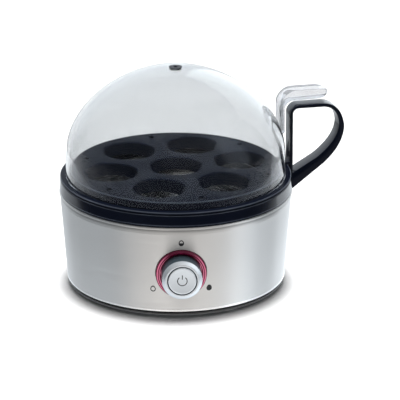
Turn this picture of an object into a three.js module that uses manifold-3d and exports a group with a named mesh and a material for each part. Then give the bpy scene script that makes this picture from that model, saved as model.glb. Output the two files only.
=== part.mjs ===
// Egg cooker: a countertop steamer for seven eggs. Millimetres, +Z up.
// The body is round about a vertical axis. The knob faces -Y, and both handles point to +X,
// turned a little towards +Y. The origin is under the middle of the whole object's box.
import * as THREE from 'three';
import { mergeVertices } from 'three/addons/utils/BufferGeometryUtils.js';
import Module from 'manifold-3d';

const wasm = await Module();
wasm.setup();

// ---------------------------------------------------------------- driving dimensions

const GAP = 0.3;                 // clearance between pieces that touch
const HEIGHT = 160;              // table to the top of the vent bush
const BODY_R = 82.5;             // the body is 165 mm across its steel bead
const HANDLE_ANGLE = THREE.MathUtils.degToRad(13);
const ROUND = 36;                // facets of the large round pieces

const FOOT = { r: 8, height: 2.2, circle: 58, count: 4, stemR: 3 };
const PAN = { bottom: 2.5, floor: 4.5, r: 76.9, lip: 5.1, wallR: 74.6, wallTop: 14 };
const SCREW = { circle: 71.5, bossR: 3.8, boreR: 1.75, shankR: 1.45, headR: 2.7, split: 38 };
const SCREW_ANGLES = [60, 180, 300].map(THREE.MathUtils.degToRad);

const SHELL = { bottom: 5.5, top: 69.2, bottomR: 77.4, topR: 82.3, wall: 0.8 };
const RING = { top: 78.3, r: 82.2, skirtR: 80.2, skirtBottom: 58, mouthR: 78.3, ledge: 69.7 };
const DISH = { floor: 60, r: 66.6, wall: 0.8, flangeR: 77.8, flangeTop: 71.8 };

const KNOB = { z: 34.9, r: 14.1, front: 94.6, back: 78, buttonR: 9.8, grooveR: 10.2 };
const LIGHT = { r: 17.8, innerR: 14.5, front: 82.3, back: 61 };
const BOARD = { back: 56.6, front: 58.2, halfWidth: 27, low: -24, high: 19 };
const GLAND = { z: 24, boreR: 3.2, neckR: 4.9 };

const RACK = { flangeR: 81.9, flangeTop: 80.2, plateR: 74.3, plate: 85.4, underside: 83.6, spigot: 73 };
const SEAT = { circle: 47, topR: 18.2, bottomR: 15.5, bottom: 77.5, wall: 1.5, facets: 16 };

const DOME = { bottom: 80.5, bottomR: 78.1, belt: 98.7, beltR: 77.3, top: 159, power: 1.81, wall: 1.8 };
const VENT = { holeR: 3.9, flangeR: 4.7, boreR: 1.4 };

const RACK_HANDLE = {
  breadth: 11.5, postR: 83.1, cornerR: 7, top: 124.2, bottom: 61.5,
  bendR: 108, reach: 123.6, widest: 106, legR: 108, legHigh: 78.9, wall: 2.1, bendWall: 4, tongue: 1.8,
};
const LID_HANDLE = {
  breadth: 13, innerR: 75.6, outerR: 79, top: 135.8, under: 129.1, reach: 111.8, outerBend: 11, innerBend: 6,
};

// ---------------------------------------------------------------- finishes

const FINISHES = {
  steel: { color: 0xc6c6c3, roughness: 0.34, metalness: 1.0 },
  satinSilver: { color: 0xcfd5da, roughness: 0.3, metalness: 0.9 },
  aluminium: { color: 0xb4b6b8, roughness: 0.5, metalness: 1.0 },
  gloss: { color: 0x0e1018, roughness: 0.16, metalness: 0.0 },
  rubber: { color: 0x1b1b1d, roughness: 0.85, metalness: 0.0 },
  silicone: { color: 0xbfc2c2, roughness: 0.6, metalness: 0.0 },
  clear: { color: 0xe8edf2, roughness: 0.05, metalness: 0.0, transparent: true, opacity: 0.3 },
  redLight: { color: 0x8c1430, roughness: 0.2, metalness: 0.0 },
  element: { color: 0x54504c, roughness: 0.6, metalness: 0.8 },
  board: { color: 0x1f5b38, roughness: 0.6, metalness: 0.0 },
  component: { color: 0x22242a, roughness: 0.5, metalness: 0.0 },
  blueCase: { color: 0x2b56a0, roughness: 0.45, metalness: 0.0 },
  whitePlastic: { color: 0xdddcd4, roughness: 0.5, metalness: 0.0 },
  brownLead: { color: 0x5c3317, roughness: 0.6, metalness: 0.0 },
  blueLead: { color: 0x2456a8, roughness: 0.6, metalness: 0.0 },
};

// ---------------------------------------------------------------- shape helpers

// A polyline through corners [x, y, fillet radius], with an arc at each corner that has a radius.
function outline(corners, steps = 2) {
  const points = [];
  corners.forEach(([x, y, radius = 0], i) => {
    const corner = new THREE.Vector2(x, y);
    if (radius === 0) {
      points.push(corner);
      return;
    }
    const before = corners.at(i - 1);
    const after = corners[(i + 1) % corners.length];
    const toBefore = new THREE.Vector2(before[0] - x, before[1] - y).normalize();
    const toAfter = new THREE.Vector2(after[0] - x, after[1] - y).normalize();
    const half = Math.acos(THREE.MathUtils.clamp(toBefore.dot(toAfter), -1, 1)) / 2;
    const bisector = toBefore.clone().add(toAfter).normalize();
    const centre = corner.clone().addScaledVector(bisector, radius / Math.sin(half));
    const start = corner.clone().addScaledVector(toBefore, radius / Math.tan(half)).sub(centre);
    const sweep = Math.PI - 2 * half;
    const turn = Math.sign(toBefore.cross(toAfter)) * -1;
    for (let k = 0; k <= steps; k += 1) {
      const arm = start.clone().rotateAround(new THREE.Vector2(), (turn * sweep * k) / steps);
      points.push(centre.clone().add(arm));
    }
  });
  return points;
}

// Turns an outline of [radius, height] about +Z. An outline that stays off the axis closes on itself.
function turned(points, segments = ROUND) {
  const onAxis = points[0].x === 0;
  const profile = onAxis ? points : [...points, points[0].clone()];
  return new THREE.LatheGeometry(profile, segments).rotateX(Math.PI / 2);
}

function rod(radius, z0, z1, segments = 24, x = 0, y = 0) {
  return new THREE.CylinderGeometry(radius, radius, z1 - z0, segments)
    .rotateX(Math.PI / 2)
    .translate(x, y, (z0 + z1) / 2);
}

function block(x0, x1, y0, y1, z0, z1) {
  return new THREE.BoxGeometry(x1 - x0, y1 - y0, z1 - z0)
    .translate((x0 + x1) / 2, (y0 + y1) / 2, (z0 + z1) / 2);
}

// Extrudes a shape drawn in [radius, height] by the given breadth, centred on the radial plane.
function radialSlab(shape, breadth, curveSegments = 6) {
  return new THREE.ExtrudeGeometry(shape, { depth: breadth, bevelEnabled: false, curveSegments })
    .translate(0, 0, -breadth / 2)
    .rotateX(Math.PI / 2);
}

// A round tube along a smooth curve through the given points.
function tube(points, radius, steps, sides = 8) {
  const section = new THREE.Shape().absarc(0, 0, radius, 0, 2 * Math.PI);
  const extrudePath = new THREE.CatmullRomCurve3(points);
  return new THREE.ExtrudeGeometry(section, { steps, extrudePath, curveSegments: sides / 2 });
}

function toSolid(geometry) {
  const bare = geometry.clone();
  bare.deleteAttribute('normal');
  bare.deleteAttribute('uv');
  const merged = mergeVertices(bare);
  const index = merged.index.array;
  const triangles = [];
  for (let i = 0; i < index.length; i += 3) {
    const [a, b, c] = index.subarray(i, i + 3);
    if (a !== b && b !== c && c !== a) triangles.push(a, b, c);
  }
  return new wasm.Manifold(new wasm.Mesh({
    numProp: 3,
    vertProperties: new Float32Array(merged.attributes.position.array),
    triVerts: new Uint32Array(triangles),
  }));
}

function toGeometry(solid) {
  const mesh = solid.getMesh();
  const geometry = new THREE.BufferGeometry();
  geometry.setAttribute('position', new THREE.BufferAttribute(mesh.vertProperties, 3));
  geometry.setIndex(new THREE.BufferAttribute(mesh.triVerts, 1));
  geometry.computeVertexNormals();
  return geometry;
}

function join(first, ...others) {
  return toGeometry(others.reduce((solid, other) => solid.add(toSolid(other)), toSolid(first)));
}

function cut(first, ...tools) {
  return toGeometry(tools.reduce((solid, tool) => solid.subtract(toSolid(tool)), toSolid(first)));
}

function common(first, other) {
  return toGeometry(toSolid(first).intersect(toSolid(other)));
}

function addPart(group, name, geometry, finish) {
  const mesh = new THREE.Mesh(geometry, new THREE.MeshStandardMaterial(FINISHES[finish]));
  mesh.name = name;
  group.add(mesh);
  return mesh;
}

function onCircle(radius, angle) {
  return [radius * Math.cos(angle), radius * Math.sin(angle)];
}

// ---------------------------------------------------------------- shared curves

function shellRadius(z) {
  return THREE.MathUtils.mapLinear(z, SHELL.bottom, SHELL.top, SHELL.bottomR, SHELL.topR);
}

// The dome's outer face above its belt is a superellipse; wall moves it inwards.
function domeRadius(z, wall = 0) {
  const rise = (z - DOME.belt) / (DOME.top - wall - DOME.belt);
  return (DOME.beltR - wall) * (1 - rise ** DOME.power) ** (1 / DOME.power);
}

function domeHeight(r, wall = 0) {
  const spread = r / (DOME.beltR - wall);
  const rise = (1 - spread ** DOME.power) ** (1 / DOME.power);
  return DOME.belt + (DOME.top - wall - DOME.belt) * rise;
}

function domeCurve(wall, steps) {
  const last = Math.acos((VENT.holeR / (DOME.beltR - wall)) ** (DOME.power / 2));
  return Array.from({ length: steps + 1 }, (_, i) => {
    const t = (last * i) / steps;
    const r = (DOME.beltR - wall) * Math.cos(t) ** (2 / DOME.power);
    const z = DOME.belt + (DOME.top - wall - DOME.belt) * Math.sin(t) ** (2 / DOME.power);
    return new THREE.Vector2(r, z);
  });
}

// ---------------------------------------------------------------- base: bottom cover, shell, ring

function footGeometry() {
  const { r, height, stemR } = FOOT;
  const barb = PAN.floor + GAP;
  return turned(outline([
    [0, 0], [r, 0, 0.6], [r, height], [stemR, height], [stemR, barb], [stemR + 1.2, barb],
    [stemR, barb + 1.8], [0, barb + 1.8],
  ], 1), 14);
}

function basePanGeometry() {
  const dish = turned(outline([
    [0, PAN.bottom], [PAN.r, PAN.bottom, 0.9], [PAN.r, PAN.lip], [PAN.wallR, PAN.lip],
    [PAN.wallR, PAN.wallTop], [PAN.wallR - 2, PAN.wallTop], [PAN.wallR - 2, PAN.floor], [0, PAN.floor],
  ]));
  const bosses = SCREW_ANGLES.map((angle) => {
    const [x, y] = onCircle(SCREW.circle, angle);
    return rod(SCREW.bossR, PAN.floor - 1, SCREW.split, 16, x, y);
  });
  const boardSlots = [-1, 1].map((side) => {
    const x = side * (BOARD.halfWidth - 4);
    return block(x - 2.5, x + 2.5, -BOARD.front - 4, -BOARD.back + 4, PAN.floor - 1, 20);
  });
  const screwBores = SCREW_ANGLES.flatMap((angle) => {
    const [x, y] = onCircle(SCREW.circle, angle);
    return [
      rod(SCREW.headR + GAP, 0, PAN.lip + GAP, 16, x, y),
      rod(SCREW.boreR, PAN.bottom, SCREW.split + 1, 12, x, y),
    ];
  });
  const footHoles = footAngles().map((angle) => {
    const [x, y] = onCircle(FOOT.circle, angle);
    return rod(FOOT.stemR + GAP, 0, PAN.floor + 1, 12, x, y);
  });
  const vents = Array.from({ length: 8 }, (_, i) => (
    block(22, 44, -1.5, 1.5, 0, PAN.floor + 1).rotateZ((i * Math.PI) / 4)
  ));
  const boardGroove = block(-30, 30, -BOARD.front - GAP, -BOARD.back + GAP, 10.5, 21);
  return cut(join(dish, ...bosses, ...boardSlots), ...screwBores, ...footHoles, ...vents, boardGroove);
}

function footAngles() {
  return Array.from({ length: FOOT.count }, (_, i) => ((i + 0.5) * 2 * Math.PI) / FOOT.count);
}

function baseScrewGeometry() {
  const headBottom = PAN.bottom + 0.6;
  const screw = turned(outline([
    [0, headBottom], [SCREW.headR, headBottom, 0.8], [SCREW.headR, PAN.lip - 0.1],
    [SCREW.shankR, PAN.lip - 0.1], [SCREW.shankR, 50], [0, 51.5],
  ], 1), 12);
  return cut(
    screw,
    block(-1.7, 1.7, -0.4, 0.4, 0, headBottom + 1.1),
    block(-0.4, 0.4, -1.7, 1.7, 0, headBottom + 1.1),
  );
}

function steelShellGeometry() {
  const { bottom, top, wall } = SHELL;
  const beadLow = top - 2.2;
  const profile = outline([
    [shellRadius(bottom) - 1.5, bottom], [shellRadius(bottom), bottom, 1.3],
    [shellRadius(beadLow), beadLow], [BODY_R + 0.15, beadLow + 0.5], [BODY_R + 0.15, top, 0.7],
    [shellRadius(top) - wall, top], [shellRadius(bottom + wall) - wall, bottom + wall],
    [shellRadius(bottom) - 1.5, bottom + wall],
  ]);
  const knobHole = rod(LIGHT.r + GAP, LIGHT.back, 100, 32).rotateX(Math.PI / 2).translate(0, 0, KNOB.z);
  const glandHole = rod(GLAND.neckR + GAP, 60, 100, 16).rotateX(-Math.PI / 2).translate(0, 0, GLAND.z);
  return cut(turned(profile), knobHole, glandHole);
}

function topRingGeometry() {
  const { top, r, skirtR, skirtBottom, mouthR, ledge } = RING;
  const ring = turned(outline([
    [skirtR - 1.9, skirtBottom], [skirtR, skirtBottom], [skirtR, SHELL.top + GAP],
    [r, SHELL.top + GAP, 0.3], [r, top, 0.6], [mouthR, top], [mouthR, ledge],
    [DISH.r + DISH.wall + 0.8, ledge], [DISH.r + DISH.wall + 0.8, ledge - 2], [skirtR - 1.9, ledge - 2],
  ]));
  const towers = SCREW_ANGLES.map((angle) => {
    const [x, y] = onCircle(SCREW.circle, angle);
    return rod(SCREW.bossR - 0.1, SCREW.split + GAP, ledge - 1, 16, x, y);
  });
  const bores = SCREW_ANGLES.map((angle) => {
    const [x, y] = onCircle(SCREW.circle, angle);
    return rod(SCREW.boreR, SCREW.split, 53, 12, x, y);
  });
  return cut(join(ring, ...towers), ...bores);
}

function glandGeometry() {
  const shellR = shellRadius(GLAND.z);
  return turned(outline([
    [GLAND.boreR, shellR - 4], [6.4, shellR - 4], [6.4, shellR - SHELL.wall - 1.3],
    [GLAND.neckR, shellR - SHELL.wall - 1.3], [GLAND.neckR, shellR + 0.9], [6.8, shellR + 0.9],
    [6.8, shellR + 2.6, 1.2], [GLAND.boreR, shellR + 2.6],
  ]), 16);
}

// ---------------------------------------------------------------- base: water pan and heater

function waterPanGeometry() {
  const { floor, r, wall, flangeR, flangeTop } = DISH;
  return turned(outline([
    [0, floor - wall], [r + wall, floor - wall, 7], [r + wall, flangeTop - wall],
    [flangeR, flangeTop - wall], [flangeR, flangeTop], [r, flangeTop, 1.2], [r, floor, 6.2], [0, floor],
  ]));
}

function panSealGeometry() {
  return turned(outline([[70, 70], [DISH.flangeR, 70], [DISH.flangeR, 70.7], [70, 70.7]]));
}

const PLATE = { top: DISH.floor - DISH.wall - GAP, bottom: 56.5, r: 46, bossR: 6, bossBottom: 49 };

function heaterPlateGeometry() {
  return cut(turned(outline([
    [0, PLATE.bossBottom], [PLATE.bossR, PLATE.bossBottom], [PLATE.bossR, PLATE.bottom],
    [PLATE.r, PLATE.bottom], [PLATE.r, PLATE.top], [0, PLATE.top],
  ]), 32), rod(2.3, PLATE.bossBottom - 1, 55, 12));
}

function heatingElementGeometry() {
  const radius = 3.3;
  const circle = 36;
  const z = PLATE.bottom - GAP - radius;
  const points = Array.from({ length: 19 }, (_, i) => {
    const [x, y] = onCircle(circle, -Math.PI / 2 + 0.45 + (i * (2 * Math.PI - 0.9)) / 18);
    return new THREE.Vector3(x, y, z);
  });
  return tube(points, radius, 28);
}

function heatShieldGeometry() {
  const shield = turned(outline([
    [0, 47.6], [50, 47.6, 2], [50, 54], [49.2, 54], [49.2, 48.4, 1.2], [0, 48.4],
  ]), 32);
  return cut(shield, rod(2.3, 47, 49, 12));
}

function shieldScrewGeometry() {
  return turned(outline([
    [0, 45.2], [3.6, 45.2, 1], [3.6, 47.3], [2, 47.3], [2, 53.5], [0, 54.5],
  ], 1), 12);
}

function thermostatGeometry() {
  return turned(outline([
    [0, 49.2], [5, 49.2], [5, 51.5], [7.6, 51.5], [7.6, 56.2], [0, 56.2],
  ]), 16).translate(0, 18, 0);
}

function thermalFuseGeometry() {
  return rod(2.1, -7, 7, 12).rotateY(Math.PI / 2).translate(0, -18, 53.6);
}

// ---------------------------------------------------------------- base: control unit
// These pieces are drawn facing +Z, in a group that turns +Z to the front of the body.

function controlBoardGeometry() {
  return block(-BOARD.halfWidth, BOARD.halfWidth, BOARD.low, BOARD.high, BOARD.back, BOARD.front);
}

function encoderGeometry() {
  const front = BOARD.front + GAP;
  const body = block(-6.5, 6.5, -6.5, 6.5, front, front + 6.5);
  const bush = rod(4.2, front + 6, 71.5, 16);
  return cut(join(body, bush), rod(3.4, 60.7, 73, 16));
}

function lightRingGeometry() {
  const { r, innerR, front, back } = LIGHT;
  return turned(outline([
    [5, 72], [innerR, 72], [innerR, back], [r, back], [r, front, 1.6], [innerR, front, 1],
    [innerR, 73.6], [5, 73.6],
  ]), 28);
}

function ledGeometry(index) {
  const [x, y] = onCircle((LIGHT.r + LIGHT.innerR) / 2, ((index + 0.5) * Math.PI) / 2);
  const z = BOARD.front + GAP;
  return block(x - 1.5, x + 1.5, y - 1.3, y + 1.3, z, z + 1.9);
}

function relayGeometry() {
  return block(-21, -6, -14, 5, BOARD.back - GAP - 11, BOARD.back - GAP);
}

function buzzerGeometry() {
  return rod(6, BOARD.back - GAP - 7.5, BOARD.back - GAP, 20, 6, -7);
}

function capacitorGeometry() {
  return rod(4, BOARD.back - GAP - 12, BOARD.back - GAP, 16, 18, -6);
}

function knobGeometry() {
  return turned(outline([
    [3.5, 74.2], [6.5, 74.2], [6.5, KNOB.back], [KNOB.r, KNOB.back, 0.5], [KNOB.r, KNOB.front, 2.2],
    [KNOB.grooveR, KNOB.front], [KNOB.grooveR, 82], [3.5, 82],
  ]), 28);
}

function knobShaftGeometry() {
  return cut(rod(3.1, 61, 81, 16), block(-4, 4, 2.1, 4, 73, 82));
}

function startButtonGeometry() {
  const face = KNOB.front + 0.2;
  return turned(outline([
    [0, 83], [2.6, 83], [2.6, 87.5], [KNOB.buttonR, 87.5], [KNOB.buttonR, face, 0.5], [0, face],
  ], 1), 28);
}

// ---------------------------------------------------------------- base: internal leads

const LEAD_R = 1.2;

function leadGeometry(points) {
  return tube(points.map((p) => new THREE.Vector3(...p)), LEAD_R, 12);
}

const LEADS = {
  lead_live: { finish: 'brownLead', route: [[-1.5, 79, 24], [-1.5, 72, 23.6], [-3.5, 67, 19], [-4, 66.6, 13]] },
  lead_neutral: { finish: 'blueLead', route: [[1.5, 79, 24], [1.5, 72, 23.6], [3.5, 67, 19], [4, 66.6, 13]] },
  board_lead_1: {
    finish: 'brownLead',
    route: [[-4, 51, 8], [-16, 46, 7.5], [-36, 22, 7.5], [-38, -12, 7.5], [-24, -36, 12], [-20, -42, 17]],
  },
  board_lead_2: {
    finish: 'blueLead',
    route: [[4, 51, 8], [16, 46, 7.5], [36, 22, 7.5], [38, -12, 7.5], [24, -36, 12], [20, -42.3, 17]],
  },
};

function terminalBlockGeometry() {
  return block(-9, 9, 53, 65, PAN.floor + GAP, 16.5);
}

// ---------------------------------------------------------------- rack

function eggRackGeometry() {
  const { flangeR, flangeTop, plateR, plate, underside, spigot } = RACK;
  const tray = turned(outline([
    [0, underside], [72.4, underside, 1], [74.6, RING.top + GAP], [75.4, spigot], [77.4, spigot],
    [77.6, RING.top + GAP], [flangeR, RING.top + GAP], [flangeR, flangeTop, 0.6],
    [plateR + 1.6, flangeTop], [plateR + 0.3, plate, 1.2], [0, plate],
  ]));
  const seats = seatCentres();
  const collars = seats.map(([x, y]) => turned(outline([
    [0, SEAT.bottom], [SEAT.bottomR + SEAT.wall, SEAT.bottom],
    [SEAT.topR + SEAT.wall, underside + 0.5], [0, underside + 0.5],
  ]), SEAT.facets).translate(x, y, 0));
  const cups = seats.map(([x, y]) => turned(outline([
    [0, SEAT.bottom - 1], [SEAT.bottomR, SEAT.bottom - 1], [SEAT.topR, plate - 0.8],
    [SEAT.topR + 1, plate + 0.2], [0, plate + 0.2],
  ]), SEAT.facets).translate(x, y, 0));
  const drains = Array.from({ length: 6 }, (_, i) => {
    const [x, y] = onCircle(66, ((i + 0.5) * Math.PI) / 3);
    return rod(2.2, underside - 2, plate + 1, 8, x, y);
  });
  return cut(join(tray, ...collars), ...cups, ...drains);
}

// One seat in the middle and six around it, the first one towards the handle.
function seatCentres() {
  const around = Array.from({ length: 6 }, (_, i) => onCircle(SEAT.circle, (i * Math.PI) / 3));
  return [[0, 0], ...around];
}

// The loop, drawn round from its lower tip, and the finger hole in it.
function rackHandleGeometry() {
  const { breadth, postR, cornerR, top, bottom, bendR, reach, widest, legR, legHigh } = RACK_HANDLE;
  const { wall, bendWall, tongue } = RACK_HANDLE;
  const tongueLow = RACK.flangeTop + GAP;
  const tongueEnd = DOME.bottomR + 0.8;
  const loop = new THREE.Shape()
    .moveTo(postR + 1.7, bottom)
    .lineTo(legR, legHigh)
    .quadraticCurveTo(reach - 0.4, 91.5, reach, widest)
    .quadraticCurveTo(reach - 2.1, top - 1.2, bendR, top - 0.2)
    .lineTo(postR + cornerR, top)
    .quadraticCurveTo(postR, top, postR, top - cornerR)
    .lineTo(postR, tongueLow + tongue)
    .lineTo(tongueEnd, tongueLow + tongue)
    .lineTo(tongueEnd, tongueLow)
    .lineTo(postR, tongueLow)
    .lineTo(postR, bottom + 4);
  const holeR = postR + wall;
  const holeTop = top - wall - 0.2;
  const innerReach = reach - bendWall;
  const finger = new THREE.Path()
    .moveTo(holeR, 74.2)
    .lineTo(holeR, holeTop - 4)
    .quadraticCurveTo(holeR, holeTop, holeR + 4, holeTop)
    .lineTo(bendR, holeTop - 0.5)
    .quadraticCurveTo(innerReach - 1.2, holeTop - 1.5, innerReach, widest + 2)
    .quadraticCurveTo(innerReach, 96, legR - 4.8, legHigh + 5.1);
  loop.holes.push(finger);
  return radialSlab(loop, breadth);
}

// ---------------------------------------------------------------- lid

function lidDomeGeometry() {
  const outer = domeCurve(0, 8);
  const inner = domeCurve(DOME.wall, 8).reverse();
  const rim = [
    new THREE.Vector2(DOME.bottomR - DOME.wall, DOME.bottom),
    new THREE.Vector2(DOME.bottomR, DOME.bottom),
  ];
  return turned([...rim, ...outer, ...inner]);
}

function lidHandleGeometry() {
  const { breadth, innerR, outerR, top, under, reach, outerBend, innerBend } = LID_HANDLE;
  const rootHigh = domeHeight(innerR - GAP);
  const rootLow = 104;
  const middle = (rootHigh + rootLow) / 2;
  const side = new THREE.Shape(outline([
    [domeRadius(rootLow) + GAP, rootLow], [outerR, rootLow + 1.5], [outerR, under, innerBend],
    [reach - 3, under, 2], [reach, under + 2, 0.6], [reach, top - 3, 0.6], [reach - 4, top - 0.5, 3],
    [innerR, top, outerBend],
    [innerR, rootHigh], [domeRadius(middle) + GAP, middle],
  ]));
  const half = breadth / 2;
  const plan = new THREE.Shape(outline([
    [innerR - 2, -half], [reach, -half, 5.5], [reach, half, 5.5], [innerR - 2, half],
  ], 5));
  const planPrism = new THREE.ExtrudeGeometry(plan, { depth: 50, bevelEnabled: false }).translate(0, 0, 95);
  return common(radialSlab(side, breadth + 2), planPrism);
}

function ventBushGeometry() {
  const { holeR, flangeR, boreR } = VENT;
  const innerFace = DOME.top - DOME.wall;
  return turned(outline([
    [boreR, innerFace], [holeR - GAP, innerFace], [holeR - GAP, DOME.top + GAP],
    [flangeR, DOME.top + GAP], [flangeR, HEIGHT, 0.4], [boreR, HEIGHT],
  ]), 16);
}

// ---------------------------------------------------------------- assembly

const base = new THREE.Group();
footAngles().forEach((angle, i) => {
  const [x, y] = onCircle(FOOT.circle, angle);
  addPart(base, `foot_${i + 1}`, footGeometry(), 'rubber').position.set(x, y, 0);
});
addPart(base, 'base_pan', basePanGeometry(), 'gloss');
SCREW_ANGLES.forEach((angle, i) => {
  const [x, y] = onCircle(SCREW.circle, angle);
  addPart(base, `base_screw_${i + 1}`, baseScrewGeometry(), 'steel').position.set(x, y, 0);
});
addPart(base, 'steel_shell', steelShellGeometry(), 'steel');
addPart(base, 'top_ring', topRingGeometry(), 'gloss');
addPart(base, 'pan_seal', panSealGeometry(), 'silicone');
addPart(base, 'water_pan', waterPanGeometry(), 'steel');
addPart(base, 'heater_plate', heaterPlateGeometry(), 'aluminium');
addPart(base, 'heating_element', heatingElementGeometry(), 'element');
addPart(base, 'thermostat', thermostatGeometry(), 'component');
addPart(base, 'thermal_fuse', thermalFuseGeometry(), 'whitePlastic');
addPart(base, 'heat_shield', heatShieldGeometry(), 'aluminium');
addPart(base, 'shield_screw', shieldScrewGeometry(), 'steel');
addPart(base, 'terminal_block', terminalBlockGeometry(), 'whitePlastic');
for (const [name, { finish, route }] of Object.entries(LEADS)) {
  addPart(base, name, leadGeometry(route), finish);
}
const gland = addPart(base, 'cord_gland', glandGeometry(), 'rubber');
gland.rotation.x = -Math.PI / 2;
gland.position.z = GLAND.z;

const front = new THREE.Group();
front.rotation.x = Math.PI / 2;
front.position.z = KNOB.z;
addPart(front, 'light_ring', lightRingGeometry(), 'redLight');
addPart(front, 'control_board', controlBoardGeometry(), 'board');
addPart(front, 'rotary_encoder', encoderGeometry(), 'aluminium');
addPart(front, 'relay', relayGeometry(), 'blueCase');
addPart(front, 'buzzer', buzzerGeometry(), 'component');
addPart(front, 'capacitor', capacitorGeometry(), 'component');
for (let i = 0; i < 4; i += 1) addPart(front, `led_${i + 1}`, ledGeometry(i), 'whitePlastic');
addPart(front, 'knob', knobGeometry(), 'satinSilver');
addPart(front, 'knob_shaft', knobShaftGeometry(), 'aluminium');
addPart(front, 'start_button', startButtonGeometry(), 'satinSilver');

const rack = new THREE.Group();
rack.rotation.z = HANDLE_ANGLE;
addPart(rack, 'egg_rack', eggRackGeometry(), 'gloss');
addPart(rack, 'rack_handle', rackHandleGeometry(), 'gloss');

const lid = new THREE.Group();
lid.rotation.z = HANDLE_ANGLE;
addPart(lid, 'lid_dome', lidDomeGeometry(), 'clear');
addPart(lid, 'lid_handle', lidHandleGeometry(), 'clear');
addPart(lid, 'vent_bush', ventBushGeometry(), 'rubber');

const eggCooker = new THREE.Group();
eggCooker.add(base, front, rack, lid);
const extent = new THREE.Box3().setFromObject(eggCooker, true);
const middle = extent.getCenter(new THREE.Vector3());
eggCooker.position.set(-middle.x, -middle.y, 0);

export default eggCooker;
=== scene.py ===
"""Looks for the egg cooker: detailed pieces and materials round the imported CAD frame, in metres."""
import math

import bmesh
import bpy
from mathutils import Matrix, Vector


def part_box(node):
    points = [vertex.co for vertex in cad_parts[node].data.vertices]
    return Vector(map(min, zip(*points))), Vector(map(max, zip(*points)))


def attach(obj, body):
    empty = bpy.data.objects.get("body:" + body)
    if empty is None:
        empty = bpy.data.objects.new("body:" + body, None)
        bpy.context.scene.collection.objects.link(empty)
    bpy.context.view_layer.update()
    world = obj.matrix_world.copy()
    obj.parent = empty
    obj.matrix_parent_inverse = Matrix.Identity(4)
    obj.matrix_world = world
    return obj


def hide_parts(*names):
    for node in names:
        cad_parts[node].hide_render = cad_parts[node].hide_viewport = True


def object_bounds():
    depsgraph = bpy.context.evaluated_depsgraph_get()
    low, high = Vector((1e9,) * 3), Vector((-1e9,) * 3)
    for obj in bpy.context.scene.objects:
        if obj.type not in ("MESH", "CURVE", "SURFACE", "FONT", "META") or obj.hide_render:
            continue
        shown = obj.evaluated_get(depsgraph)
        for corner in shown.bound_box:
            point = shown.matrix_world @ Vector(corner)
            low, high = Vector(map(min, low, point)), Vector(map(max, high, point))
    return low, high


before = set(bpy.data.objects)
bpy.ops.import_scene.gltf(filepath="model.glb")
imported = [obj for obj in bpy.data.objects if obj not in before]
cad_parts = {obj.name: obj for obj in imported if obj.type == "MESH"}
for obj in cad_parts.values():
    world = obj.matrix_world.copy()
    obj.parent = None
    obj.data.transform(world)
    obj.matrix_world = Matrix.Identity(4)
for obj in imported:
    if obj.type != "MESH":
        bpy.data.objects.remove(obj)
cad_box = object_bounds()

# ------------------------------------------------------------------ places, from the frame

MM = 0.001


def middle(node):
    """The centre of a CAD node's box."""
    low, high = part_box(node)
    return (low + high) / 2


AXIS = middle("top_ring")                      # the body's axis, in X and Y
KNOB = middle("start_button")                  # the knob's axis, in X and Z
GLAND = middle("cord_gland")
HANDLE = middle("rack_handle")
HANDLE_TURN = math.atan2(HANDLE.y - AXIS.y, HANDLE.x - AXIS.x)
BODY_AT = Matrix.Translation((AXIS.x, AXIS.y, 0))
RACK_AT = BODY_AT @ Matrix.Rotation(HANDLE_TURN, 4, "Z")
# Pieces round the knob are drawn facing +Z and turned to face -Y. The bush in the rear faces +Y.
FRONT_AT = Matrix.Translation((AXIS.x, AXIS.y, KNOB.z)) @ Matrix.Rotation(math.pi / 2, 4, "X")
REAR_AT = Matrix.Translation((AXIS.x, AXIS.y, GLAND.z)) @ Matrix.Rotation(-math.pi / 2, 4, "X")

SHELL_LOW, SHELL_TOP = (corner.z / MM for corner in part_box("steel_shell"))
RING_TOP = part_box("top_ring")[1].z / MM
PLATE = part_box("egg_rack")[1].z / MM
DOME_LOW, DOME_TOP = (corner.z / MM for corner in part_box("lid_dome"))
TOP = cad_box[1].z / MM
BEAD_R = (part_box("steel_shell")[1].x - AXIS.x) / MM
KNOB_FACE = (AXIS.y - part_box("knob")[0].y) / MM
BUTTON_FACE = (AXIS.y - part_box("start_button")[0].y) / MM

# Radii and heights below are millimetres from the body's axis and from the table.
SHELL_LOW_R, SHELL_TOP_R = 77.4, 82.3
SEAT_CIRCLE, SEAT_TOP_R, SEAT_LOW_R, SEAT_LOW = 47, 18.2, 15.5, 77.5
DOME_LOW_R, DOME_WALL = 78.1, 1.8
DOME_R, DOME_BELT, DOME_POWER = 77.3, 98.7, 1.81    # the arch: its reach, lower end and squareness
# The knob and what surrounds it, from the knob's axis. Faces are distances in front of the body's axis.
LIGHT_R, LIGHT_INNER_R, LIGHT_FACE = 17.8, 14.5, 82.3
KNOB_R, GROOVE_R, BUTTON_R = 14.1, 10.2, 9.8
RIDGE_R, RIDGE_GAP = 15.4, 1.4                      # the light ring's fine ridges: first radius, spacing
MARK_CIRCLE, MARK_SPREAD = 23.0, math.radians(122)

# ------------------------------------------------------------------ mesh helpers

SHARP = 35      # edges that turn more than this, in degrees, stay sharp


def outline(corners, steps=5):
    """A polyline through corners (x, y, fillet radius), with an arc at each corner that has a radius."""
    points = []
    for i, corner in enumerate(corners):
        at = Vector(corner[:2])
        radius = corner[2] if len(corner) > 2 else 0
        if not radius:
            points.append(at)
            continue
        to_before = (Vector(corners[i - 1][:2]) - at).normalized()
        to_after = (Vector(corners[(i + 1) % len(corners)][:2]) - at).normalized()
        half = to_before.angle(to_after) / 2
        centre = at + (to_before + to_after).normalized() * (radius / math.sin(half))
        arm = at + to_before * (radius / math.tan(half)) - centre
        turn = -math.copysign(math.pi - 2 * half, to_before.cross(to_after))
        points += [centre + Matrix.Rotation(turn * k / steps, 2) @ arm for k in range(steps + 1)]
    return points


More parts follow.
